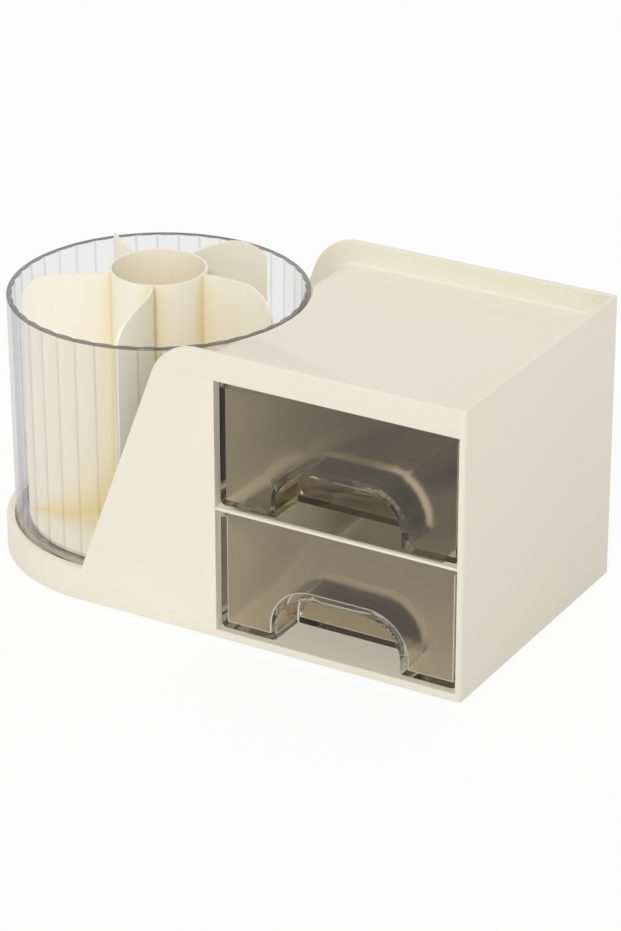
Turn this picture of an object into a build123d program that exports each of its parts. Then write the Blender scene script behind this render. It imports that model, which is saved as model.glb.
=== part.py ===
from build123d import *
import math
import os

# Rotating desk organizer: a clear ribbed pen drum that turns in a round tray,
# beside a two-drawer cabinet whose top is a shallow tray.
# Millimetres, +Z up, origin on the table under the middle of the footprint.
# The drawers face -Y and the drum stands at the -X end.

os.makedirs("parts", exist_ok=True)

# ---------- driving dimensions ----------

# housing
overall_length = 234.5          # round end of the tray to the right side
overall_depth = 127.0           # also the diameter of the round end
housing_height = 120.0
wall = 2.2                      # front, back and right walls
deck_recess = 9.9               # deck below the top edge of the walls
deck_thickness = 1.4
lip_height = 13.5               # rim of the round tray
slope_angle = 69.5              # end of the front and back walls, from level
slope_setback = 1.5             # foot of that slope, right of the drum axis
shoulder_radius = 21.0          # where the slope turns into the top edge
upright_corner_radius = 1.5
edge_softening = 0.5            # small rounding of the moulded edges
deck_cove_radius = 1.3          # where the deck meets the walls
partition_wall = 2.8            # between the drum pocket and the drawer bay
pocket_wall = 2.0
cell_wall = 2.0                 # bay side of the hollow corners beside the pocket
tray_floor_thickness = 2.2
boss_radius = 3.4
boss_height = 8.0
boss_bite = 0.6                 # how far a boss runs into the wall beside it
overcut = 5.0                   # how far a cut runs past the surface it opens

# bottom plate, feet and screws
plate_thickness = 2.4
plate_recess = 0.8              # plate above the lower edge of the walls
plate_gap = 0.2
foot_proud = 1.0                # feet below the lower edge of the walls
foot_radius = 7.0
foot_inset = 15.0
access_hole_radius = 12.0
plate_screw_radius = 1.4
plate_screw_length = 6.0
plate_screw_head_radius = 2.8
screw_clearance = 0.15
plate_screw_slot = 0.7
tray_screw_angles = (120.0, 180.0, 240.0)
tray_screw_inset = 7.3          # screws under the tray, inside the drum's foot
tray_boss_height = 2.8

# drum
drum_rim_radius = 60.5
drum_foot_radius = 59.6
drum_height = 102.4
drum_wall = 1.6                 # at the grooves between the ribs
drum_floor_thickness = 2.0
drum_foot_drop = 4.0            # drum's wall below its floor, hiding the disc
rib_count = 42
rib_depth = 0.7                 # inwards from the grooves
drum_gap = 0.7                  # drum to the housing, all round
first_groove_angle = -91.5

# divider insert
tube_radius = 19.7
tube_wall = 1.2
tube_height = 105.4             # insert's underside to the tube's rim
insert_base_thickness = 1.6
insert_gap = 3.1                # insert to the drum's ribs
blade_count = 5
blade_thickness = 1.2
blade_root_angle = -65.0        # where the first blade leaves the tube
blade_tip_angle = -75.5         # where it reaches the drum
blade_arc_radius = 48.0
blade_shoulder_run = 17.0       # rounded outer top corner, radially
blade_shoulder_drop = 12.0      # and downwards

# turntable bearing
ball_diameter = 4.0
ball_count = 18
race_inset = 14.0               # ball circle inside the disc's edge
ball_clearance = 0.1
race_width = 8.0
race_thickness = 1.2
groove_depth = 0.6
race_seat_lip = 0.2             # disc's underside below the upper race
cage_thickness = 1.2
cage_width = 6.4
disc_gap = 3.3                  # disc to the inside of the drum's foot
disc_thickness = 2.4
hub_radius = 6.5
running_clearance = 0.05
bush_wall = 2.0
bush_flange_radius = 10.5
bush_flange_thickness = 1.2
axial_play = 0.3
clip_thickness = 1.0
clip_radius = 9.0
clip_groove_depth = 1.1
clip_mouth = 6.4
hub_end = 1.2                   # hub below the clip
peg_radius = 2.5
peg_circle_radius = 31.0
peg_height = 3.2
centre_screw_radius = 1.75
centre_screw_length = 11.0
centre_screw_head_radius = 4.2
centre_screw_head_height = 2.6
centre_screw_head_rounding = 1.3
centre_screw_slot = 0.9
centre_screw_slot_depth = 1.3
centre_washer_radius = 6.5
centre_washer_thickness = 1.0
hole_clearance = 0.25

# drawers
rail_thickness = 1.1
rail_width = 7.0                # side and rear bars
rail_front_depth = 2.0          # front bar's back, behind the housing's front
rail_tongue = 0.9
rail_gap = 0.1
rail_level = 51.5               # drawer floor level to the rail's underside
drawer_wall = 2.0
drawer_floor_thickness = 2.0
drawer_front_thickness = 2.4
drawer_side_gap = 0.8
drawer_under_gap = 0.3
drawer_top_gap = 0.9
drawer_setback = 2.5            # drawer front behind the housing's front
drawer_rear_gap = 8.0
drawer_corner_radius = 2.5
side_step = 3.2                 # sides and back lower than the front
pull_width = 60.0
pull_height = 23.2
pull_corner_radius = 18.0
pull_depth = 20.0
pull_wall = 2.8
drawer_edge_softening = 0.6

# ---------- places worked out from them ----------

right_x = overall_length / 2
left_x = -overall_length / 2
half_depth = overall_depth / 2
inner_half_depth = half_depth - wall
drum_x = left_x + half_depth
drum_axis = Axis((drum_x, 0, 0), (0, 0, 1))
base_z = foot_proud
top_z = base_z + housing_height
lip_z = base_z + lip_height
plate_z = base_z + plate_recess
floor_z = plate_z + plate_thickness
tray_z = floor_z + tray_floor_thickness
deck_z = top_z - deck_recess
bay_top_z = deck_z - deck_thickness

lower_race_top_z = tray_z + race_thickness
ball_z = lower_race_top_z - groove_depth + ball_clearance + ball_diameter / 2
upper_race_z = ball_z + ball_diameter / 2 + ball_clearance - groove_depth
disc_z = upper_race_z - race_seat_lip
disc_top_z = disc_z + disc_thickness
drum_foot_z = disc_top_z - drum_foot_drop
drum_rim_z = drum_foot_z + drum_height
drum_floor_top_z = disc_top_z + drum_floor_thickness
insert_floor_z = drum_floor_top_z + insert_base_thickness
tube_top_z = drum_floor_top_z + tube_height
draft = (drum_rim_radius - drum_foot_radius) / drum_height


def drum_outer_radius(z):
    """Radius of the drum's smooth outside at a level."""
    return drum_foot_radius + draft * (z - drum_foot_z)


def pocket_radius(z):
    """Radius of the housing's round pocket at a level."""
    return drum_outer_radius(z) + drum_gap


def drum_inner_radius(z):
    """Radius inside the drum's ribs at a level."""
    return drum_outer_radius(z) - drum_wall - rib_depth


def polar(radius, angle):
    """Point at a radius and an angle in degrees."""
    return (radius * math.cos(math.radians(angle)), radius * math.sin(math.radians(angle)))


insert_radius = drum_inner_radius(drum_floor_top_z) - insert_gap
disc_radius = drum_inner_radius(drum_foot_z) - disc_gap
ball_circle_radius = disc_radius - race_inset
tray_screw_circle = drum_inner_radius(drum_foot_z) - tray_screw_inset
partition_x = drum_x + pocket_radius(drum_rim_z) + partition_wall
bay_right_x = right_x - wall
bay_width = bay_right_x - partition_x
bay_x = (partition_x + bay_right_x) / 2
rail_z = floor_z + rail_level
rail_top_z = rail_z + rail_thickness
slope = math.radians(slope_angle)
slope_foot_x = drum_x + slope_setback


def slope_x(z, inset):
    """Sloping end of the walls at a level, moved inwards by an inset."""
    return slope_foot_x + inset / math.sin(slope) + (z - lip_z) / math.tan(slope)


def at_drum(z):
    """Level plane centred on the drum axis."""
    return Plane(origin=(drum_x, 0, z))


# upright plane through the drum axis: x is the radius, y is the level
drum_section = Plane(origin=(drum_x, 0, 0), x_dir=(1, 0, 0), z_dir=(0, -1, 0))


def footprint(inset):
    """Rectangle with a half-round left end, drawn in the current sketch."""
    length = right_x - inset - drum_x
    with Locations((drum_x + length / 2, 0)):
        Rectangle(length, overall_depth - 2 * inset)
    with Locations((drum_x, 0)):
        Circle(half_depth - inset)


def shouldered(sketch, inset, *others):
    """Closed outline in a sketch of the XZ plane, rounded where slope meets top."""
    high_z = top_z - inset
    shoulder = (slope_x(high_z, inset), high_z)
    with BuildLine() as outline:
        Polyline(shoulder, *others, close=True)
    make_face(outline.edges())
    corner = sketch.vertices().sort_by_distance(shoulder)[0]
    fillet(corner, radius=max(shoulder_radius - inset, edge_softening))


# ---------- screw places ----------

cell_right_x = partition_x - cell_wall
boss_reach = boss_radius - boss_bite
boss_y = inner_half_depth - boss_reach
cabinet_screws = [
    (cell_right_x - boss_reach, -boss_y),
    (cell_right_x - boss_reach, boss_y),
    (bay_x, boss_y),
    (bay_right_x - boss_reach, boss_y),
]
tray_screws = [
    (drum_x + x, y) for x, y in [polar(tray_screw_circle, a) for a in tray_screw_angles]
]

# ---------- housing ----------

with BuildPart() as cells:
    # hollow corners between the round pocket, the bay and the outer walls
    with BuildSketch(Plane.XY.offset(floor_z)):
        with Locations(((drum_x + cell_right_x) / 2, 0)):
            Rectangle(cell_right_x - drum_x, 2 * inner_half_depth)
        with Locations((drum_x, 0)):
            Circle(pocket_radius(drum_rim_z) + pocket_wall, mode=Mode.SUBTRACT)
    extrude(amount=housing_height)
    under_deck = deck_recess + deck_thickness
    with BuildSketch(Plane.XZ) as below_deck:
        shouldered(
            below_deck,
            under_deck,
            (right_x, bay_top_z),
            (right_x, floor_z),
            (slope_x(floor_z, under_deck), floor_z),
        )
    extrude(amount=half_depth, both=True, mode=Mode.INTERSECT)

with BuildPart() as housing:
    with BuildSketch(Plane.XY.offset(base_z)):
        footprint(0)
    extrude(amount=housing_height)
    fillet(housing.edges().filter_by(Axis.Z).group_by(Axis.X)[-1], radius=upright_corner_radius)

    # the front and back walls end in a slope above the tray's lip
    with BuildSketch(Plane.XZ) as side:
        shouldered(
            side,
            0,
            (right_x, top_z),
            (right_x, base_z),
            (left_x, base_z),
            (left_x, lip_z),
            (slope_foot_x, lip_z),
        )
    extrude(amount=half_depth, both=True, mode=Mode.INTERSECT)

    # recessed deck, which follows the walls' outline down to the drum
    clear_z = top_z + overcut
    with BuildSketch(Plane.XZ) as over_deck:
        shouldered(
            over_deck,
            deck_recess,
            (bay_right_x, deck_z),
            (bay_right_x, clear_z),
            (left_x, clear_z),
            (left_x, lip_z),
            (slope_x(lip_z, deck_recess), lip_z),
        )
    extrude(amount=inner_half_depth, both=True, mode=Mode.SUBTRACT)

    # round pocket with the drum's draft
    pocket_height = top_z - tray_z + overcut
    with Locations((drum_x, 0, tray_z)):
        Cone(
            pocket_radius(tray_z),
            pocket_radius(tray_z + pocket_height),
            pocket_height,
            align=(Align.CENTER, Align.CENTER, Align.MIN),
            mode=Mode.SUBTRACT,
        )

    # drawer bay, open at the front
    with BuildSketch(Plane.XZ.offset(half_depth)):
        with Locations((bay_x, (floor_z + bay_top_z) / 2)):
            Rectangle(bay_width, bay_top_z - floor_z)
    extrude(amount=-(half_depth + inner_half_depth), mode=Mode.SUBTRACT)
    add(cells.part, mode=Mode.SUBTRACT)

    # underside, open for the bottom plate
    with BuildSketch(Plane.XY.offset(base_z)):
        footprint(wall)
    extrude(amount=floor_z - base_z, mode=Mode.SUBTRACT)

    # screw bosses with pilot holes, and the bush's hole
    with BuildSketch(Plane.XY.offset(floor_z)):
        with Locations(*cabinet_screws):
            Circle(boss_radius)
    extrude(amount=boss_height)
    with BuildSketch(Plane.XY.offset(tray_z)):
        with Locations(*tray_screws):
            Circle(boss_radius)
    extrude(amount=tray_boss_height)
    with BuildSketch(Plane.XY.offset(floor_z)):
        with Locations(*cabinet_screws, *tray_screws):
            Circle(plate_screw_radius)
    extrude(amount=plate_screw_length - plate_thickness + screw_clearance, mode=Mode.SUBTRACT)
    with BuildSketch(at_drum(floor_z)):
        Circle(hub_radius + running_clearance + bush_wall)
    extrude(amount=tray_floor_thickness, mode=Mode.SUBTRACT)

    # grooves for the drawer rail's tongues, run in from the front
    with BuildSketch(Plane.XZ.offset(inner_half_depth)):
        with Locations((bay_x, rail_z + rail_thickness / 2)):
            Rectangle(bay_width + 2 * rail_tongue + 2 * rail_gap, rail_thickness + 2 * rail_gap)
    extrude(amount=-2 * inner_half_depth, mode=Mode.SUBTRACT)

    # coved corners of the deck, and softened top edges
    level_faces = housing.faces().filter_by(Plane.XY)
    deck_face = level_faces.sort_by_distance((bay_x, 0, deck_z))[0]
    fillet(deck_face.edges().filter_by(GeomType.LINE), radius=deck_cove_radius)
    rim_face = housing.faces().sort_by(Axis.Z)[-1]
    fillet(rim_face.edges().filter_by(GeomType.LINE), radius=edge_softening)

housing.part.label = "housing"
export_step(housing.part, "parts/housing.step")

# ---------- bottom plate, its screws and the feet ----------

foot_x = right_x - foot_inset
foot_y = half_depth - foot_inset
foot_spots = [
    (foot_x, -foot_y),
    (foot_x, foot_y),
    (partition_x - foot_inset, -foot_y),
    (partition_x - foot_inset, foot_y),
    (left_x + foot_inset, 0),
]

with BuildPart() as bottom_plate:
    with BuildSketch(Plane.XY.offset(plate_z)):
        footprint(wall + plate_gap)
        with Locations((drum_x, 0)):
            Circle(access_hole_radius, mode=Mode.SUBTRACT)
    extrude(amount=plate_thickness)
    with Locations(Plane(origin=(0, 0, plate_z), x_dir=(1, 0, 0), z_dir=(0, 0, -1))):
        with Locations(*[(x, -y) for x, y in cabinet_screws + tray_screws]):
            CounterSinkHole(
                plate_screw_radius + screw_clearance,
                plate_screw_head_radius + screw_clearance,
                depth=plate_thickness,
            )
bottom_plate.part.label = "bottom_plate"
export_step(bottom_plate.part, "parts/bottom_plate.step")

with BuildPart() as plate_screws:
    # countersunk screws with cross slots, driven upwards
    head_height = plate_screw_head_radius - plate_screw_radius
    with Locations(*[(x, y, plate_z) for x, y in cabinet_screws + tray_screws]):
        Cone(
            plate_screw_head_radius,
            plate_screw_radius,
            head_height,
            align=(Align.CENTER, Align.CENTER, Align.MIN),
        )
        Cylinder(
            plate_screw_radius,
            plate_screw_length,
            align=(Align.CENTER, Align.CENTER, Align.MIN),
        )
        for turn in (0, 90):
            Box(
                2 * plate_screw_radius,
                plate_screw_slot,
                head_height,
                rotation=(0, 0, turn),
                mode=Mode.SUBTRACT,
            )
plate_screws.part.label = "plate_screws"
export_step(plate_screws.part, "parts/plate_screws.step")

with BuildPart() as rubber_feet:
    with BuildSketch(Plane.XY):
        with Locations(*foot_spots):
            Circle(foot_radius)
    extrude(amount=plate_z)
    fillet(rubber_feet.edges().group_by(Axis.Z)[0], radius=edge_softening)
rubber_feet.part.label = "rubber_feet"
export_step(rubber_feet.part, "parts/rubber_feet.step")

# ---------- drum ----------


def ribbed(level):
    """Outline of the drum's inside at a level: shallow round ribs between grooves."""
    pitch = 360 / rib_count
    groove_radius = drum_outer_radius(level) - drum_wall
    with BuildSketch(at_drum(level)) as section:
        with BuildLine() as outline:
            for i in range(rib_count):
                start = first_groove_angle + i * pitch
                ThreePointArc(
                    polar(groove_radius, start),
                    polar(groove_radius - rib_depth, start + pitch / 2),
                    polar(groove_radius, start + pitch),
                )
        make_face(outline.edges())
    return section.sketch


peg_angle = (blade_root_angle + blade_tip_angle) / 2 + 180 / blade_count
peg_spots = [polar(peg_circle_radius, peg_angle + i * 360 / blade_count) for i in range(blade_count)]
floor_section = ribbed(drum_floor_top_z)
mouth_section = ribbed(drum_rim_z + overcut)

with BuildPart() as drum:
    with Locations((drum_x, 0, drum_foot_z)):
        Cone(
            drum_foot_radius,
            drum_rim_radius,
            drum_height,
            align=(Align.CENTER, Align.CENTER, Align.MIN),
        )
    loft([floor_section, mouth_section], ruled=True, mode=Mode.SUBTRACT)
    with BuildSketch(at_drum(drum_foot_z)):
        Circle(drum_inner_radius(drum_foot_z))
    extrude(amount=drum_foot_drop, mode=Mode.SUBTRACT)
    with BuildSketch(at_drum(disc_top_z)):
        Circle(centre_screw_radius + hole_clearance)
        with Locations(*peg_spots):
            Circle(peg_radius + hole_clearance)
    extrude(amount=drum_floor_thickness, mode=Mode.SUBTRACT)
drum.part.label = "drum"
export_step(drum.part, "parts/drum.step")

# ---------- divider insert ----------

with BuildPart() as divider_insert:
    with BuildSketch(at_drum(drum_floor_top_z)):
        Circle(tube_radius)
        Circle(tube_radius - tube_wall, mode=Mode.SUBTRACT)
        for i in range(blade_count):
            turn = i * 360 / blade_count
            with BuildLine() as blade_line:
                RadiusArc(
                    polar(tube_radius - tube_wall / 2, blade_root_angle + turn),
                    polar(insert_radius, blade_tip_angle + turn),
                    blade_arc_radius,
                )
            trace(blade_line.line, line_width=blade_thickness)
    extrude(amount=tube_height)

    # blades rounded off at the top outside
    with BuildSketch(drum_section) as envelope:
        shoulder_x = insert_radius - blade_shoulder_run
        shoulder_z = tube_top_z - blade_shoulder_drop
        with BuildLine():
            Line((0, drum_floor_top_z), (0, tube_top_z))
            Line((0, tube_top_z), (shoulder_x, tube_top_z))
            EllipticalCenterArc(
                (shoulder_x, shoulder_z), blade_shoulder_run, blade_shoulder_drop, arc_size=90
            )
            Line((insert_radius, shoulder_z), (insert_radius, drum_floor_top_z))
            Line((insert_radius, drum_floor_top_z), (0, drum_floor_top_z))
        make_face()
    revolve(axis=drum_axis, mode=Mode.INTERSECT)
    with BuildSketch(at_drum(drum_floor_top_z)):
        Circle(insert_radius)
    extrude(amount=insert_base_thickness)
    with BuildSketch(at_drum(drum_floor_top_z)):
        Circle(centre_screw_radius + hole_clearance)
        with Locations(*peg_spots):
            Circle(peg_radius + hole_clearance)
    extrude(amount=insert_base_thickness, mode=Mode.SUBTRACT)
divider_insert.part.label = "divider_insert"
export_step(divider_insert.part, "parts/divider_insert.step")

# ---------- turntable ----------

bush_end_z = floor_z - axial_play
clip_top_z = bush_end_z - axial_play
clip_z = clip_top_z - clip_thickness
hub_bottom_z = clip_z - hub_end
groove_radius = ball_diameter / 2 + ball_clearance
race_inner_radius = ball_circle_radius - race_width / 2
race_outer_radius = ball_circle_radius + race_width / 2

with BuildPart() as turntable_disc:
    with BuildSketch(at_drum(disc_z)):
        Circle(disc_radius)
    extrude(amount=disc_thickness)
    with BuildSketch(at_drum(hub_bottom_z)):
        Circle(hub_radius)
    extrude(amount=disc_z - hub_bottom_z)
    with BuildSketch(at_drum(disc_top_z)):
        with Locations(*peg_spots):
            Circle(peg_radius)
    extrude(amount=peg_height)
    # seat of the upper race
    with BuildSketch(at_drum(disc_z)):
        Circle(race_outer_radius)
        Circle(race_inner_radius, mode=Mode.SUBTRACT)
    extrude(amount=upper_race_z + race_thickness - disc_z, mode=Mode.SUBTRACT)
    # clip groove, and the screw's blind hole
    with BuildSketch(at_drum(clip_z)):
        Circle(hub_radius)
        Circle(hub_radius - clip_groove_depth, mode=Mode.SUBTRACT)
    extrude(amount=clip_thickness, mode=Mode.SUBTRACT)
    screw_tip_z = insert_floor_z + centre_washer_thickness - centre_screw_length
    with BuildSketch(at_drum(disc_top_z)):
        Circle(centre_screw_radius)
    extrude(amount=screw_tip_z - hole_clearance - disc_top_z, mode=Mode.SUBTRACT)
turntable_disc.part.label = "turntable_disc"
export_step(turntable_disc.part, "parts/turntable_disc.step")

with BuildPart() as spindle_bush:
    with BuildSketch(at_drum(bush_end_z)):
        Circle(hub_radius + running_clearance + bush_wall)
    extrude(amount=tray_z - bush_end_z)
    with BuildSketch(at_drum(tray_z)):
        Circle(bush_flange_radius)
    extrude(amount=bush_flange_thickness)
    with BuildSketch(at_drum(bush_end_z)):
        Circle(hub_radius + running_clearance)
    extrude(amount=tray_z + bush_flange_thickness - bush_end_z, mode=Mode.SUBTRACT)
spindle_bush.part.label = "spindle_bush"
export_step(spindle_bush.part, "parts/spindle_bush.step")

with BuildPart() as retaining_clip:
    # open ring, sprung into the hub's groove from the side
    with BuildSketch(at_drum(clip_z)):
        Circle(clip_radius)
        Circle(hub_radius - clip_groove_depth, mode=Mode.SUBTRACT)
        with Locations((clip_radius / 2, 0)):
            Rectangle(clip_radius, clip_mouth, mode=Mode.SUBTRACT)
    extrude(amount=clip_thickness)
retaining_clip.part.label = "retaining_clip"
export_step(retaining_clip.part, "parts/retaining_clip.step")


def race(level):
    """Flat ring at a level, with a groove for the balls cut around their circle."""
    with BuildPart() as ring:
        with BuildSketch(at_drum(level)):
            Circle(race_outer_radius)
            Circle(race_inner_radius, mode=Mode.SUBTRACT)
        extrude(amount=race_thickness)
        with BuildSketch(drum_section):
            with Locations((ball_circle_radius, ball_z)):
                Circle(groove_radius)
        revolve(axis=drum_axis, mode=Mode.SUBTRACT)
    return ring.part


lower_race = race(tray_z)
lower_race.label = "lower_race"
export_step(lower_race, "parts/lower_race.step")
upper_race = race(upper_race_z)
upper_race.label = "upper_race"
export_step(upper_race, "parts/upper_race.step")

with BuildPart() as ball_cage:
    with BuildSketch(at_drum(ball_z - cage_thickness / 2)):
        Circle(ball_circle_radius + cage_width / 2)
        Circle(ball_circle_radius - cage_width / 2, mode=Mode.SUBTRACT)
        with PolarLocations(ball_circle_radius, ball_count):
            Circle(groove_radius, mode=Mode.SUBTRACT)
    extrude(amount=cage_thickness)
ball_cage.part.label = "ball_cage"
export_step(ball_cage.part, "parts/ball_cage.step")

with BuildPart() as bearing_balls:
    with Locations(at_drum(ball_z)):
        with PolarLocations(ball_circle_radius, ball_count):
            Sphere(ball_diameter / 2)
bearing_balls.part.label = "bearing_balls"
export_step(bearing_balls.part, "parts/bearing_balls.step")

with BuildPart() as centre_washer:
    with BuildSketch(at_drum(insert_floor_z)):
        Circle(centre_washer_radius)
        Circle(centre_screw_radius + hole_clearance, mode=Mode.SUBTRACT)
    extrude(amount=centre_washer_thickness)
centre_washer.part.label = "centre_washer"
export_step(centre_washer.part, "parts/centre_washer.step")

with BuildPart() as centre_screw:
    head_z = insert_floor_z + centre_washer_thickness
    with BuildSketch(at_drum(head_z)):
        Circle(centre_screw_head_radius)
    extrude(amount=centre_screw_head_height)
    fillet(centre_screw.edges().group_by(Axis.Z)[-1], radius=centre_screw_head_rounding)
    with BuildSketch(at_drum(head_z + centre_screw_head_height)):
        for turn in (0, 90):
            Rectangle(2 * centre_screw_radius, centre_screw_slot, rotation=turn)
    extrude(amount=-centre_screw_slot_depth, mode=Mode.SUBTRACT)
    with BuildSketch(at_drum(head_z)):
        Circle(centre_screw_radius)
    extrude(amount=-centre_screw_length)
centre_screw.part.label = "centre_screw"
export_step(centre_screw.part, "parts/centre_screw.step")

# ---------- frame between the drawers ----------

with BuildPart() as rail_frame:
    frame_depth = 2 * inner_half_depth
    opening_front = -half_depth + rail_front_depth
    opening_back = inner_half_depth - rail_width
    with BuildSketch(Plane.XY.offset(rail_z)):
        with Locations((bay_x, 0)):
            Rectangle(bay_width, frame_depth)
            # side tongues, in the housing's grooves
            Rectangle(bay_width + 2 * rail_tongue, frame_depth - 2 * rail_gap)
        # front bar brought forward to the housing's face
        with Locations((bay_x, -(inner_half_depth + half_depth - rail_gap) / 2)):
            Rectangle(bay_width - 2 * rail_gap, wall - rail_gap)
        with Locations((bay_x, (opening_front + opening_back) / 2)):
            Rectangle(
                bay_width - 2 * rail_width, opening_back - opening_front, mode=Mode.SUBTRACT
            )
    extrude(amount=rail_thickness)
rail_frame.part.label = "rail_frame"
export_step(rail_frame.part, "parts/rail_frame.step")

# ---------- drawers ----------

drawer_width = bay_width - 2 * drawer_side_gap
drawer_front_y = -half_depth + drawer_setback
drawer_back_y = inner_half_depth - drawer_rear_gap
drawer_length = drawer_back_y - drawer_front_y


def arch(sketch, low_z, width, height, radius):
    """Upright arch with rounded shoulders, standing on a level."""
    with Locations((bay_x, low_z + height / 2)):
        Rectangle(width, height)
    fillet(sketch.vertices().group_by(Axis.Y)[-1], radius=radius)


def drawer(low_z, high_z):
    """Clear drawer between two levels, open at the top, with an arched finger pull."""
    height = high_z - low_z
    with BuildPart() as box:
        with BuildSketch(Plane.XZ.offset(-drawer_front_y)) as outside:
            with Locations((bay_x, low_z + height / 2)):
                Rectangle(drawer_width, height)
            fillet(outside.vertices().group_by(Axis.Y)[0], radius=drawer_corner_radius)
        extrude(amount=-drawer_length)
        # the front is taller than the sides and back
        with BuildSketch(Plane.XZ.offset(-drawer_front_y - drawer_front_thickness)):
            with Locations((bay_x, high_z - side_step / 2)):
                Rectangle(drawer_width, side_step)
        extrude(amount=-drawer_length, mode=Mode.SUBTRACT)
        # inside
        inside_height = height - drawer_floor_thickness
        with BuildSketch(Plane.XZ.offset(-drawer_front_y - drawer_front_thickness)) as inside:
            with Locations((bay_x, high_z - inside_height / 2)):
                Rectangle(drawer_width - 2 * drawer_wall, inside_height)
            inside_corners = inside.vertices().group_by(Axis.Y)[0]
            fillet(inside_corners, radius=max(drawer_corner_radius - drawer_wall, edge_softening))
        extrude(
            amount=-(drawer_length - drawer_front_thickness - drawer_wall), mode=Mode.SUBTRACT
        )
        # finger pull, a hooded pocket open at the front and below
        with BuildSketch(Plane.XZ.offset(-drawer_front_y)) as hood:
            arch(hood, low_z, pull_width, pull_height, pull_corner_radius)
        extrude(amount=-pull_depth)
        with BuildSketch(Plane.XZ.offset(-drawer_front_y)) as pocket:
            arch(
                pocket,
                low_z,
                pull_width - 2 * pull_wall,
                pull_height - pull_wall,
                pull_corner_radius - pull_wall,
            )
        extrude(amount=-(pull_depth - pull_wall), mode=Mode.SUBTRACT)
        front_face = box.faces().sort_by(Axis.Y)[0]
        fillet(front_face.edges(), radius=drawer_edge_softening)
    return box.part


drawer_lower = drawer(floor_z + drawer_under_gap, rail_z - drawer_top_gap)
drawer_lower.label = "drawer_lower"
export_step(drawer_lower, "parts/drawer_lower.step")
drawer_upper = drawer(rail_top_z + drawer_under_gap, bay_top_z - drawer_top_gap)
drawer_upper.label = "drawer_upper"
export_step(drawer_upper, "parts/drawer_upper.step")
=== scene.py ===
import math

import bmesh
import bpy
import numpy as np
from mathutils import Matrix, Vector


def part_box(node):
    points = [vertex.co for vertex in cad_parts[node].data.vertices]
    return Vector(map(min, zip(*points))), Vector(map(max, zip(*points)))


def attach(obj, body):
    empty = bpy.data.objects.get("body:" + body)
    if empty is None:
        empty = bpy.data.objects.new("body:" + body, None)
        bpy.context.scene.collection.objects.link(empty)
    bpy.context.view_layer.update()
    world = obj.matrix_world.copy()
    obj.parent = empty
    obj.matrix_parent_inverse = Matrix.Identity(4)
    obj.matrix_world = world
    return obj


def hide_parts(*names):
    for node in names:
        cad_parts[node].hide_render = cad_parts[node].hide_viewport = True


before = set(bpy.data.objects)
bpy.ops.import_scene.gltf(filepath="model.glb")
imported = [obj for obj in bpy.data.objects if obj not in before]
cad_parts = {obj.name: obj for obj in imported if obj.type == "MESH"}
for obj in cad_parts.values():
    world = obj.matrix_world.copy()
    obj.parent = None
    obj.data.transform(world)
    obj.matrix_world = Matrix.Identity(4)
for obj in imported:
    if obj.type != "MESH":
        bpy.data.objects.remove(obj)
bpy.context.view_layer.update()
mm = 0.001

# Rotating desk organizer: clear ribbed pen drum in a round tray, cabinet with two clear drawers.
# Metres, +Z up. The drawers face -Y and the drum stands at the -X end.


def boxOf(node):
    low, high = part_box(node)
    return np.array(low), np.array(high)


def linearFromHex(text):
    # sRGB hex to linear light
    c = np.array([int(text[i:i + 2], 16) for i in (1, 3, 5)]) / 255
    c = np.where(c <= 0.04045, c / 12.92, ((c + 0.055) / 1.055) ** 2.4)
    return (*c.tolist(), 1.0)


def addNode(tree, kind, values):
    # one node with its settings; a value that is a socket gets linked
    node = tree.nodes.new(kind)
    for key, value in values.items():
        if isinstance(key, str) and key not in node.inputs:
            setattr(node, key, value)
            continue
        socket = node.inputs[key]
        if isinstance(value, bpy.types.NodeSocket):
            tree.links.new(value, socket)
        else:
            socket.default_value = value
    return node


def newMaterial(name):
    material = bpy.data.materials.new(name)
    material.use_nodes = True
    tree = material.node_tree
    tree.nodes.clear()
    out = tree.nodes.new("ShaderNodeOutputMaterial")
    place = tree.nodes.new("ShaderNodeTexCoord").outputs["Object"]
    return material, tree, out, place


# ABS, injection moulded in a finely spark-eroded tool: satin, no sharp reflections, a faint
# grain, barely uneven colour from the melt flow; a painted golden shade darkens deep folds and the cabinet's
# inside, set by how much the piece closes over itself
absPlastic = {
    "colour": "#EFEADA", "flowColour": "#EDE7D4", "flowSize": 70 * mm,
    "paintedFoldShadeColour": "#C9A467", "paintedShadeReach": 120 * mm, "paintedShadeFrom": 0.42, "paintedShadeTo": 0.05, "paintedShadeSamples": 8,
    "grainSize": 0.45 * mm,  # real grit is about 0.1 mm; drawn coarser so that it shows
    "grainHeight": 0.012 * mm, "grainStrength": 0.5, "roughness": 0.46, "roughnessSpread": 0.05, "ior": 1.53,
}
# the insert's thin walls are paler, and get the painted golden shade only close to their folds
thinAbsPlastic = absPlastic | {
    "colour": "#F7F1E1", "flowColour": "#F6EFDB",
    "paintedFoldShadeColour": "#E4CF84", "paintedShadeReach": 30 * mm, "paintedShadeFrom": 0.90, "paintedShadeTo": 0.25,
}


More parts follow.
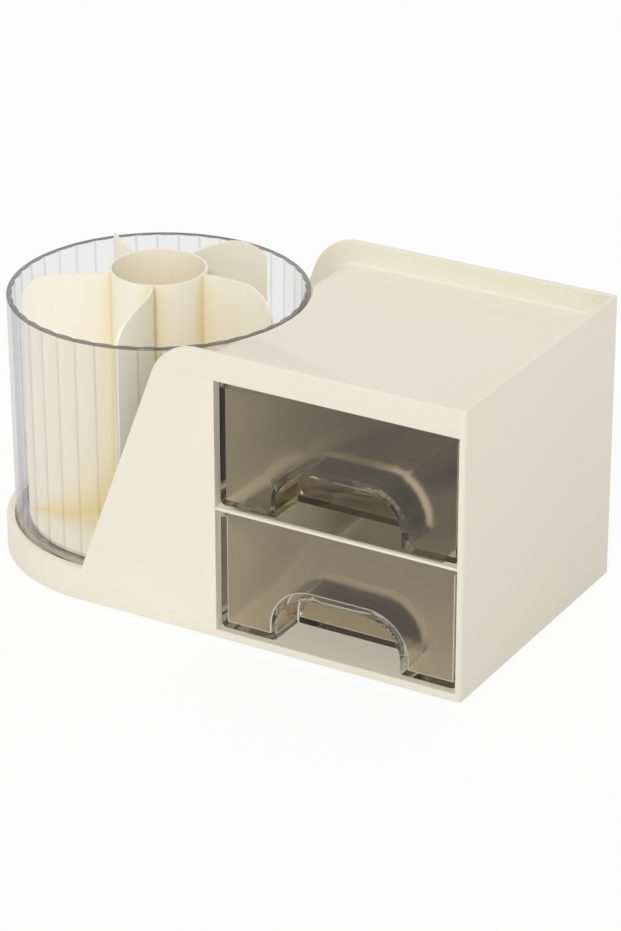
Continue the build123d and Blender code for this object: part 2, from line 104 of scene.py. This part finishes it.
def creamAbsMoulded(name, p):
    material, tree, out, place = newMaterial(name)
    flow = addNode(tree, "ShaderNodeTexNoise", {
        "Vector": place, "Scale": 1 / p["flowSize"], "Detail": 2.0})
    pale = addNode(tree, "ShaderNodeMix", {
        "data_type": "RGBA", 0: flow.outputs[0],
        6: linearFromHex(p["colour"]), 7: linearFromHex(p["flowColour"])})
    # how much the piece closes over itself within the reach; this sets the painted golden shade in folds and
    # hollows
    occlusion = addNode(tree, "ShaderNodeAmbientOcclusion", {
        "samples": p["paintedShadeSamples"], "only_local": True, "Distance": p["paintedShadeReach"]})
    paintedShadeShare = addNode(tree, "ShaderNodeMapRange", {
        "interpolation_type": "SMOOTHSTEP", "Value": occlusion.outputs["AO"],
        "From Min": p["paintedShadeFrom"], "From Max": p["paintedShadeTo"]})
    colour = addNode(tree, "ShaderNodeMix", {
        "data_type": "RGBA", 0: paintedShadeShare.outputs[0],
        6: pale.outputs[2], 7: linearFromHex(p["paintedFoldShadeColour"])})
    grain = addNode(tree, "ShaderNodeTexNoise", {
        "Vector": place, "Scale": 1 / p["grainSize"], "Detail": 3.0})
    bump = addNode(tree, "ShaderNodeBump", {
        "Strength": p["grainStrength"], "Distance": p["grainHeight"], "Height": grain.outputs[0]})
    roughness = addNode(tree, "ShaderNodeMapRange", {
        "Value": grain.outputs[0], "To Min": p["roughness"] - p["roughnessSpread"],
        "To Max": p["roughness"] + p["roughnessSpread"]})
    shader = addNode(tree, "ShaderNodeBsdfPrincipled", {
        "Base Color": colour.outputs[2], "Roughness": roughness.outputs[0],
        "Normal": bump.outputs[0], "IOR": p["ior"]})
    tree.links.new(shader.outputs[0], out.inputs["Surface"])
    return material


# Polystyrene, injection moulded in a polished tool: a thin clear wall that hardly bends what
# stands behind it, grey towards its outline, with painted shade along its grooves and a painted dark band
# over the rim, where the eye looks along the wall
drumPlastic = {
    "colour": "#F9F9FA", "grazingColour": "#EFEFEE", "paintedGrooveShadeColour": "#E2E1DF", "roughness": 0.03,
    "headOnGloss": 0.04, "glossPower": 5.0, "greyPower": 3.0,
    "paintedRimShadeColour": "#2E2A25", "paintedRimShadeShowsThrough": 0.25, "lipRoughness": 0.08, "lipIor": 1.58,
    "drawLineSize": 1.6 * mm, "drawLineHeight": 0.004 * mm,
}

drawLine = {"upright": 0.04, "strength": 0.4}  # the pattern is drawn out 25 times along Z


def drawLines(tree, place, p):
    # faint lines that the tool leaves up the walls
    stretch = addNode(tree, "ShaderNodeMapping", {
        "Vector": place, "Scale": (1.0, 1.0, drawLine["upright"])})
    lines = addNode(tree, "ShaderNodeTexNoise", {
        "Vector": stretch.outputs[0], "Scale": 1 / p["drawLineSize"], "Detail": 1.0})
    bump = addNode(tree, "ShaderNodeBump", {
        "Strength": drawLine["strength"], "Distance": p["drawLineHeight"],
        "Height": lines.outputs[0]})
    return bump.outputs[0]


def letLightThrough(tree, seen):
    # light passes the wall straight, so that what is behind it is lit without caustics
    rays = addNode(tree, "ShaderNodeLightPath", {})
    straight = addNode(tree, "ShaderNodeMath", {
        "operation": "MAXIMUM", 0: rays.outputs["Is Shadow Ray"], 1: rays.outputs["Is Diffuse Ray"]})
    through = addNode(tree, "ShaderNodeBsdfTransparent", {"Color": linearFromHex("#FFFFFF")})
    return addNode(tree, "ShaderNodeMixShader", {
        0: straight.outputs[0], 1: seen.outputs[0], 2: through.outputs[0]})


def clearStyreneThin():
    p = drumPlastic
    material, tree, out, place = newMaterial("clearStyrenePolished")
    normal = drawLines(tree, place, p)
    facing = addNode(tree, "ShaderNodeLayerWeight", {"Blend": 0.5, "Normal": normal}).outputs["Facing"]
    # share of light thrown back: the head-on share, rising with a power towards the outline
    rise = addNode(tree, "ShaderNodeMath", {"operation": "POWER", 0: facing, 1: p["glossPower"]})
    gloss = addNode(tree, "ShaderNodeMath", {
        "operation": "MULTIPLY_ADD", 0: rise.outputs[0], 1: 1 - p["headOnGloss"], 2: p["headOnGloss"]})
    grey = addNode(tree, "ShaderNodeMath", {"operation": "POWER", 0: facing, 1: p["greyPower"]})
    body = addNode(tree, "ShaderNodeMix", {
        "data_type": "RGBA", 0: grey.outputs[0],
        6: linearFromHex(p["colour"]), 7: linearFromHex(p["grazingColour"])})
    # painted shade: the wall's tint turns grey along the grooves between the ribs
    groove = addNode(tree, "ShaderNodeAttribute", {"attribute_name": "groove"})
    tint = addNode(tree, "ShaderNodeMix", {
        "data_type": "RGBA", 0: groove.outputs["Fac"],
        6: body.outputs[2], 7: linearFromHex(p["paintedGrooveShadeColour"])})
    through = addNode(tree, "ShaderNodeBsdfTransparent", {"Color": tint.outputs[2]})
    shine = addNode(tree, "ShaderNodeBsdfGlossy", {"Roughness": p["roughness"], "Normal": normal})
    wall = addNode(tree, "ShaderNodeMixShader", {
        0: gloss.outputs[0], 1: through.outputs[0], 2: shine.outputs[0]})
    # the rim: a painted dark band, mostly opaque, over the wall's top
    lip = addNode(tree, "ShaderNodeAttribute", {"attribute_name": "lip"})
    rimShadeShare = addNode(tree, "ShaderNodeMath", {
        "operation": "MULTIPLY", 0: lip.outputs["Fac"], 1: 1 - p["paintedRimShadeShowsThrough"]})
    rim = addNode(tree, "ShaderNodeBsdfPrincipled", {
        "Base Color": linearFromHex(p["paintedRimShadeColour"]), "Roughness": p["lipRoughness"], "IOR": p["lipIor"]})
    seen = addNode(tree, "ShaderNodeMixShader", {
        0: rimShadeShare.outputs[0], 1: wall.outputs[0], 2: rim.outputs[0]})
    both = letLightThrough(tree, seen)
    tree.links.new(both.outputs[0], out.inputs["Surface"])
    return material


# The drawers' polystyrene: polished, with a faint warm smoke; the inner face of the front is
# left satin and blurs the inside. The IOR is set below polystyrene's own 1.59
drawerPlastic = {
    "colour": "#F1E9D9", "ior": 1.45, "roughness": 0.02, "satin": 0.22,
    "bouncesInWall": 3.5, "leavingColour": "#E9E4DA",
    "paintedEdgeHighlightColour": "#F2F0EC", "edgeClearColour": "#F4F2EE", "edgeShowsThrough": 0.25, "edgeRoughness": 0.12,
    "drawLineSize": 2.5 * mm, "drawLineHeight": 0.003 * mm,
}


def smokyStyrene():
    p = drawerPlastic
    material, tree, out, place = newMaterial("smokyStyrenePolished")
    satin = addNode(tree, "ShaderNodeAttribute", {"attribute_name": "satin"})
    rough = addNode(tree, "ShaderNodeMapRange", {
        "Value": satin.outputs["Fac"], "To Min": p["roughness"], "To Max": p["satin"]})
    shader = addNode(tree, "ShaderNodeBsdfPrincipled", {
        "Base Color": linearFromHex(p["colour"]), "Roughness": rough.outputs[0], "IOR": p["ior"],
        "Transmission Weight": 1.0, "Normal": drawLines(tree, place, p)})
    # light that has run to and fro in a wall leaves it at last
    rays = addNode(tree, "ShaderNodeLightPath", {})
    spent = addNode(tree, "ShaderNodeMath", {
        "operation": "GREATER_THAN", 0: rays.outputs["Ray Depth"], 1: p["bouncesInWall"]})
    leaving = addNode(tree, "ShaderNodeBsdfTransparent", {"Color": linearFromHex(p["leavingColour"])})
    seen = addNode(tree, "ShaderNodeMixShader", {
        0: spent.outputs[0], 1: shader.outputs[0], 2: leaving.outputs[0]})
    both = letLightThrough(tree, seen)
    tree.links.new(both.outputs[0], out.inputs["Surface"])
    return material


# The rounded edges get a painted highlight: a pale, mostly opaque colour that stands in for the light they
# gather, so they stand out as pale lines
def styreneEdge():
    p = drawerPlastic
    material, tree, out, place = newMaterial("smokyStyreneEdgePaintedHighlight")
    shader = addNode(tree, "ShaderNodeBsdfPrincipled", {
        "Base Color": linearFromHex(p["paintedEdgeHighlightColour"]), "Roughness": p["edgeRoughness"], "IOR": p["ior"],
        "Normal": drawLines(tree, place, p)})
    clear = addNode(tree, "ShaderNodeBsdfTransparent", {"Color": linearFromHex(p["edgeClearColour"])})
    edge = addNode(tree, "ShaderNodeMixShader", {
        0: p["edgeShowsThrough"], 1: shader.outputs[0], 2: clear.outputs[0]})
    both = letLightThrough(tree, edge)
    tree.links.new(both.outputs[0], out.inputs["Surface"])
    return material


# Acetal, moulded: milky white, slightly waxy, faintly cloudy
acetalPlastic = {
    "colour": "#EEEEEA", "cloudColour": "#E6E6E0", "cloudSize": 9 * mm, "roughness": 0.38, "ior": 1.48,
}


def acetalMoulded():
    p = acetalPlastic
    material, tree, out, place = newMaterial("acetalMoulded")
    cloud = addNode(tree, "ShaderNodeTexNoise", {
        "Vector": place, "Scale": 1 / p["cloudSize"], "Detail": 3.0})
    colour = addNode(tree, "ShaderNodeMix", {
        "data_type": "RGBA", 0: cloud.outputs[0],
        6: linearFromHex(p["colour"]), 7: linearFromHex(p["cloudColour"])})
    shader = addNode(tree, "ShaderNodeBsdfPrincipled", {
        "Base Color": colour.outputs[2], "Roughness": p["roughness"], "IOR": p["ior"]})
    tree.links.new(shader.outputs[0], out.inputs["Surface"])
    return material


# Steel with bright zinc plating, pressed and tumbled: bluish, with cloudy patches of finer and
# coarser polish
zincPlate = {
    "colour": "#C9CCD0", "cloudColour": "#B4B8BE", "cloudSize": 1.5 * mm, "smooth": 0.18, "coarse": 0.34,
}


def zincSteel():
    p = zincPlate
    material, tree, out, place = newMaterial("zincPlatedSteel")
    cloud = addNode(tree, "ShaderNodeTexNoise", {
        "Vector": place, "Scale": 1 / p["cloudSize"], "Detail": 4.0})
    colour = addNode(tree, "ShaderNodeMix", {
        "data_type": "RGBA", 0: cloud.outputs[0],
        6: linearFromHex(p["colour"]), 7: linearFromHex(p["cloudColour"])})
    rough = addNode(tree, "ShaderNodeMapRange", {
        "Value": cloud.outputs[0], "To Min": p["smooth"], "To Max": p["coarse"]})
    shader = addNode(tree, "ShaderNodeBsdfPrincipled", {
        "Base Color": colour.outputs[2], "Roughness": rough.outputs[0], "Metallic": 1.0})
    tree.links.new(shader.outputs[0], out.inputs["Surface"])
    return material


# Nitrile rubber, compression moulded: matt, near black, dusty grain
footRubber = {
    "colour": "#2A2A29", "dustColour": "#3A3936", "dustSize": 0.6 * mm, "dustHeight": 0.02 * mm,
    "dustStrength": 0.6, "roughness": 0.82, "ior": 1.52,
}


def nitrileRubber():
    p = footRubber
    material, tree, out, place = newMaterial("nitrileRubberMoulded")
    dust = addNode(tree, "ShaderNodeTexNoise", {"Vector": place, "Scale": 1 / p["dustSize"], "Detail": 5.0})
    colour = addNode(tree, "ShaderNodeMix", {
        "data_type": "RGBA", 0: dust.outputs[0],
        6: linearFromHex(p["colour"]), 7: linearFromHex(p["dustColour"])})
    bump = addNode(tree, "ShaderNodeBump", {
        "Strength": p["dustStrength"], "Distance": p["dustHeight"], "Height": dust.outputs[0]})
    shader = addNode(tree, "ShaderNodeBsdfPrincipled", {
        "Base Color": colour.outputs[2], "Roughness": p["roughness"], "IOR": p["ior"],
        "Normal": bump.outputs[0]})
    tree.links.new(shader.outputs[0], out.inputs["Surface"])
    return material


cream = creamAbsMoulded("creamAbsMoulded", absPlastic)
creamThin = creamAbsMoulded("creamAbsThinWalled", thinAbsPlastic)
clearDrum = clearStyreneThin()
smokyDrawer = smokyStyrene()
paintedEdgeHighlight = styreneEdge()
acetal = acetalMoulded()
steel = zincSteel()
rubber = nitrileRubber()
print("materials made")


def meshFromGrid(name, grid, material, body):
    # grid of points, rows along the first parameter and columns round the second, joined into
    # quads; it closes both ways
    rows, columns = grid.shape[:2]
    below = np.arange(rows * columns).reshape(rows, columns)
    above = np.roll(below, -1, axis=0)
    quads = np.stack([below, np.roll(below, -1, axis=1), np.roll(above, -1, axis=1), above], axis=-1)
    mesh = bpy.data.meshes.new(name)
    mesh.from_pydata(grid.reshape(-1, 3).tolist(), [], quads.reshape(-1, 4).tolist())
    mesh.polygons.foreach_set("use_smooth", np.ones(len(mesh.polygons), dtype=bool))
    mesh.materials.append(material)
    piece = bpy.data.objects.new(name, mesh)
    bpy.context.scene.collection.objects.link(piece)
    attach(piece, body)
    return piece


rounding = {"flatDegrees": 0.3, "sharpDegrees": 28}


def softened(node, name, width, segments, material, body, weld=0.002 * mm):
    # the node's own solid, its triangles merged and its flat faces joined, every sharp edge rounded
    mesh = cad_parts[node].data.copy()
    mesh.name = name
    mesh.materials.clear()
    mesh.materials.append(material)
    work = bmesh.new()
    work.from_mesh(mesh)
    bmesh.ops.remove_doubles(work, verts=work.verts, dist=weld)
    bmesh.ops.dissolve_limit(
        work, angle_limit=math.radians(rounding["flatDegrees"]), verts=work.verts, edges=work.edges)
    for face in work.faces:
        face.smooth = True
    work.to_mesh(mesh)
    work.free()
    piece = bpy.data.objects.new(name, mesh)
    bpy.context.scene.collection.objects.link(piece)
    bevel = piece.modifiers.new("softEdges", "BEVEL")
    bevel.width = width
    bevel.segments = segments
    bevel.limit_method = "ANGLE"
    bevel.angle_limit = math.radians(rounding["sharpDegrees"])
    bevel.harden_normals = True
    bevel.miter_outer = "MITER_ARC"
    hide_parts(node)
    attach(piece, body)
    return piece


drum = {
    "ribs": 42, "ribDepth": 0.7 * mm, "firstGroove": -91.5, "stepsPerRib": 16,
    "wall": 1.6 * mm, "outsideFoot": 59.6 * mm, "outsideRim": 60.5 * mm, "floorThickness": 2.0 * mm,
    "footDrop": 4.0 * mm, "outerRound": 0.5 * mm, "innerRound": 0.3 * mm, "cornerRound": 1.0 * mm,
    "screwHole": 2.0 * mm, "floorRings": np.array([50, 36, 12]) * mm, "wallLevels": 14,
    "grooveWidth": 0.45 * mm, "cornerPoints": 6, "cornerRibShares": (0.95, 0.2),
}


def roundCorner(centreR, centreZ, radius, startDegrees, endDegrees, count):
    # points of an arc in the (radius, level) plane
    angle = np.radians(np.linspace(startDegrees, endDegrees, count))
    return np.stack([centreR + radius * np.cos(angle), centreZ + radius * np.sin(angle)], axis=1)


def makeDrum():
    p = drum
    low, high = boxOf("drum")
    axisX = (low[0] + high[0]) / 2
    foot, rim = low[2], high[2]
    draft = (p["outsideRim"] - p["outsideFoot"]) / (rim - foot)
    floorUnder = foot + p["footDrop"]
    floorTop = floorUnder + p["floorThickness"]

    def outside(z):
        return p["outsideFoot"] + draft * (z - foot)

    def groove(z):
        return outside(z) - p["wall"]

    # half-section, counter-clockwise from the outer foot, as radius at the grooves and level;
    # each part has the ribs' share (full on the inside, fading into the floor) and the rim's share, where
    # the painted dark rim goes
    a, b, c = p["outerRound"], p["innerRound"], p["cornerRound"]
    clearFoot = groove(foot) - p["ribDepth"]
    levels = p["wallLevels"]
    outerLevels = np.append(np.linspace(foot + a, rim - 2 * a, levels - 1), rim - a)
    innerLevels = np.append(rim - b, np.linspace(rim - 2 * b, floorTop + c, levels - 1))
    atTop = (np.arange(levels) == 0).astype(float)
    floorRadii = np.append(p["floorRings"], p["screwHole"])
    floorPoints = np.stack([floorRadii, np.full(len(floorRadii), floorTop)], axis=1)
    underPoints = np.stack([floorRadii[::-1], np.full(len(floorRadii), floorUnder)], axis=1)
    sections = [
        (roundCorner(outside(foot) - a, foot + a, a, -90, 0, 4)[:-1], 0, 0),
        (np.stack([outside(outerLevels), outerLevels], axis=1), 0, atTop[::-1]),
        (roundCorner(outside(rim) - a, rim - a, a, 0, 90, 6)[1:], 0, 1),
        (roundCorner(groove(rim) + b, rim - b, b, 90, 180, 5)[:-1], 1, 1),
        (np.stack([groove(innerLevels), innerLevels], axis=1), 1, atTop),
        (roundCorner(groove(floorTop) - c, floorTop + c, c, 0, -90, p["cornerPoints"])[1:],
         np.linspace(*p["cornerRibShares"], p["cornerPoints"] - 1), 0),
        (floorPoints, 0, 0),
        (underPoints, 0, 0),
        (roundCorner(clearFoot - b, floorUnder - b, b, 90, 0, 4), 0, 0),
        (roundCorner(clearFoot + b, foot + b, b, 180, 270, 4), 0, 0),
    ]
    profile = np.vstack([points for points, ribs, lip in sections])
    ribShare = np.concatenate([np.broadcast_to(ribs, len(points)) for points, ribs, lip in sections])
    lipShare = np.concatenate([np.broadcast_to(lip, len(points)) for points, ribs, lip in sections])

    # a rib is a round arc that bulges inwards between two grooves of radius g: at the angle t from
    # its middle its radius is D cos t - sqrt(q^2 - D^2 sin^2 t), where q is the arc's own radius and
    # D its centre's, with D - q the radius at the crest
    pitch = 2 * math.pi / p["ribs"]
    across = (np.arange(p["ribs"] * p["stepsPerRib"]) / p["stepsPerRib"]) % 1
    across = 0.5 - 0.5 * np.cos(math.pi * across)  # samples crowd towards the grooves
    t = (across - 0.5) * pitch
    g = groove(rim)
    crest = g - p["ribDepth"]
    d = (g ** 2 - crest ** 2) / (2 * (g * math.cos(pitch / 2) - crest))
    q = d - crest
    inward = g - (d * np.cos(t) - np.sqrt(q ** 2 - (d * np.sin(t)) ** 2))
    ribNumber = np.arange(p["ribs"] * p["stepsPerRib"]) // p["stepsPerRib"]
    angle = math.radians(p["firstGroove"]) + ribNumber * pitch + (t + pitch / 2)
    radius = profile[:, :1] - ribShare[:, None] * inward[None]
    grid = np.stack([
        axisX + radius * np.cos(angle), radius * np.sin(angle),
        np.broadcast_to(profile[:, 1:], radius.shape)], axis=-1)
    piece = meshFromGrid("ribbedDrum", grid, clearDrum, "drum_unit")
    # the groove and lip attributes mark where the painted groove shade and the painted dark rim go
    toGroove = g * (pitch / 2 - np.abs(t))
    nearGroove = np.exp(-(toGroove / p["grooveWidth"]) ** 2)
    for name, values in (("groove", ribShare[:, None] * nearGroove[None]),
                         ("lip", np.broadcast_to(lipShare[:, None], radius.shape))):
        layer = piece.data.attributes.new(name, "FLOAT", "POINT")
        layer.data.foreach_set("value", np.ascontiguousarray(values, dtype=np.float32).ravel())
    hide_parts("drum")
    return piece


drumPiece = makeDrum()
print("drum made,", len(drumPiece.data.polygons), "faces")


mouldings = {
    "housing": {"edge": 0.35 * mm, "segments": 2, "body": "cabinet", "material": cream},
    "divider_insert": {"edge": 0.4 * mm, "segments": 3, "body": "drum_unit", "material": creamThin},
    "rail_frame": {"edge": 0.3 * mm, "segments": 2, "body": "cabinet", "material": cream},
}
for node, p in mouldings.items():
    softened(node, node + "_moulded", p["edge"], p["segments"], p["material"], p["body"])
print("cream mouldings made")

drawers = {
    "edge": 0.55 * mm, "segments": 3, "weld": 0.03 * mm,
    "frontThickness": 2.4 * mm, "planeReach": 0.05 * mm, "facingBack": 0.9,
}


def makeDrawer(node, body):
    p = drawers
    piece = softened(
        node, node + "_clear", p["edge"], p["segments"], smokyDrawer, body, p["weld"])
    mesh = piece.data
    mesh.materials.append(paintedEdgeHighlight)
    # the second material paints a pale highlight onto the rounded edges
    piece.modifiers["softEdges"].material = 1  # the rounded edges take the second material
    # the satin face is the front's inner one
    low, high = boxOf(node)
    count = len(mesh.polygons)
    centres, normals = np.empty(count * 3), np.empty(count * 3)
    mesh.polygons.foreach_get("center", centres)
    mesh.polygons.foreach_get("normal", normals)
    onPlane = np.abs(centres[1::3] - low[1] - p["frontThickness"]) < p["planeReach"]
    satin = mesh.attributes.new("satin", "FLOAT", "FACE")
    satin.data.foreach_set("value", (onPlane & (normals[1::3] > p["facingBack"])).astype(np.float32))


makeDrawer("drawer_upper", "upper_drawer")
makeDrawer("drawer_lower", "lower_drawer")
print("drawers made")

# the frame's own nodes that stay
finishes = {
    "bottom_plate": cream, "turntable_disc": cream, "plate_screws": steel, "rubber_feet": rubber,
    "spindle_bush": acetal, "retaining_clip": steel, "lower_race": steel, "upper_race": steel,
    "ball_cage": acetal, "bearing_balls": steel, "centre_washer": steel, "centre_screw": steel,
}
for node, material in finishes.items():
    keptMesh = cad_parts[node].data
    for number in range(len(keptMesh.materials)):
        keptMesh.materials[number] = material
print("finishes set on the kept nodes")

studio = {
    "floorColour": "#F4F4F2", "floorSize": 6.0, "floorWhite": 0.90,
    "skyStrength": 0.67, "keyStrength": 1.1, "keyAngle": 10.0, "keyAzimuth": -20.0, "keyElevation": 39.0,
}


def backgroundRays(tree):
    # one for rays that show the background itself: seen directly, mirrored or through clear plastic
    rays = addNode(tree, "ShaderNodeLightPath", {})
    seen = addNode(tree, "ShaderNodeMath", {
        "operation": "MAXIMUM", 0: rays.outputs["Is Camera Ray"], 1: rays.outputs["Is Glossy Ray"]})
    seenAny = addNode(tree, "ShaderNodeMath", {
        "operation": "MAXIMUM", 0: seen.outputs[0], 1: rays.outputs["Is Transmission Ray"]})
    return seenAny.outputs[0]


def makeFloor():
    p = studio
    mesh = bpy.data.meshes.new("floor")
    half = p["floorSize"] / 2
    corners = [(-half, -half, 0), (half, -half, 0), (half, half, 0), (-half, half, 0)]
    mesh.from_pydata(corners, [], [(0, 1, 2, 3)])
    floor = bpy.data.objects.new("floor", mesh)
    bpy.context.scene.collection.objects.link(floor)
    material, tree, out, place = newMaterial("paleFloor")
    matt = addNode(tree, "ShaderNodeBsdfDiffuse", {"Color": linearFromHex(p["floorColour"])})
    white = addNode(tree, "ShaderNodeEmission", {"Strength": 1.0})
    share = addNode(tree, "ShaderNodeMath", {
        "operation": "MULTIPLY", 0: backgroundRays(tree), 1: p["floorWhite"]})
    both = addNode(tree, "ShaderNodeMixShader", {
        0: share.outputs[0], 1: matt.outputs[0], 2: white.outputs[0]})
    tree.links.new(both.outputs[0], out.inputs["Surface"])
    mesh.materials.append(material)


def makeLight():
    p = studio
    world = bpy.data.worlds.new("studio")
    bpy.context.scene.world = world
    world.use_nodes = True
    tree = world.node_tree
    tree.nodes.clear()
    out = tree.nodes.new("ShaderNodeOutputWorld")
    strength = addNode(tree, "ShaderNodeMapRange", {
        "Value": backgroundRays(tree), "To Min": p["skyStrength"], "To Max": 1.0})
    sky = addNode(tree, "ShaderNodeBackground", {
        "Color": linearFromHex("#FFFFFF"), "Strength": strength.outputs[0]})
    tree.links.new(sky.outputs[0], out.inputs["Surface"])
    lamp = bpy.data.lights.new("key", "SUN")
    lamp.energy = p["keyStrength"]
    lamp.angle = math.radians(p["keyAngle"])
    key = bpy.data.objects.new("key", lamp)
    a, e = math.radians(p["keyAzimuth"]), math.radians(p["keyElevation"])
    towards = Vector((math.sin(a) * math.cos(e), math.cos(a) * math.cos(e), -math.sin(e)))
    key.rotation_euler = towards.to_track_quat("-Z", "Y").to_euler()
    bpy.context.scene.collection.objects.link(key)


# the photograph's viewpoint, from the object's straight edges
view = {
    "place": (0.68033, -1.14886, 0.67573), "right": (0.86568, 0.50060, -0.00029),
    "up": (-0.2133, 0.3694, 0.9045), "lens": 143.49, "sensorHeight": 36, "farEnd": 20,
}


def makeCamera():
    p = view
    camera = bpy.data.cameras.new("camera")
    camera.sensor_fit = "VERTICAL"
    camera.sensor_height = p["sensorHeight"]
    camera.lens = p["lens"]
    camera.clip_end = p["farEnd"]
    seat = bpy.data.objects.new("camera", camera)
    right = Vector(p["right"])
    back = right.cross(Vector(p["up"])).normalized()
    up = back.cross(right).normalized()
    turn = Matrix((right, up, back)).transposed()
    seat.matrix_world = Matrix.Translation(p["place"]) @ turn.to_4x4()
    bpy.context.scene.collection.objects.link(seat)
    bpy.context.scene.camera = seat


makeFloor()
makeLight()
makeCamera()
bpy.context.scene.view_settings.view_transform = "Standard"
print("floor, light and camera made")
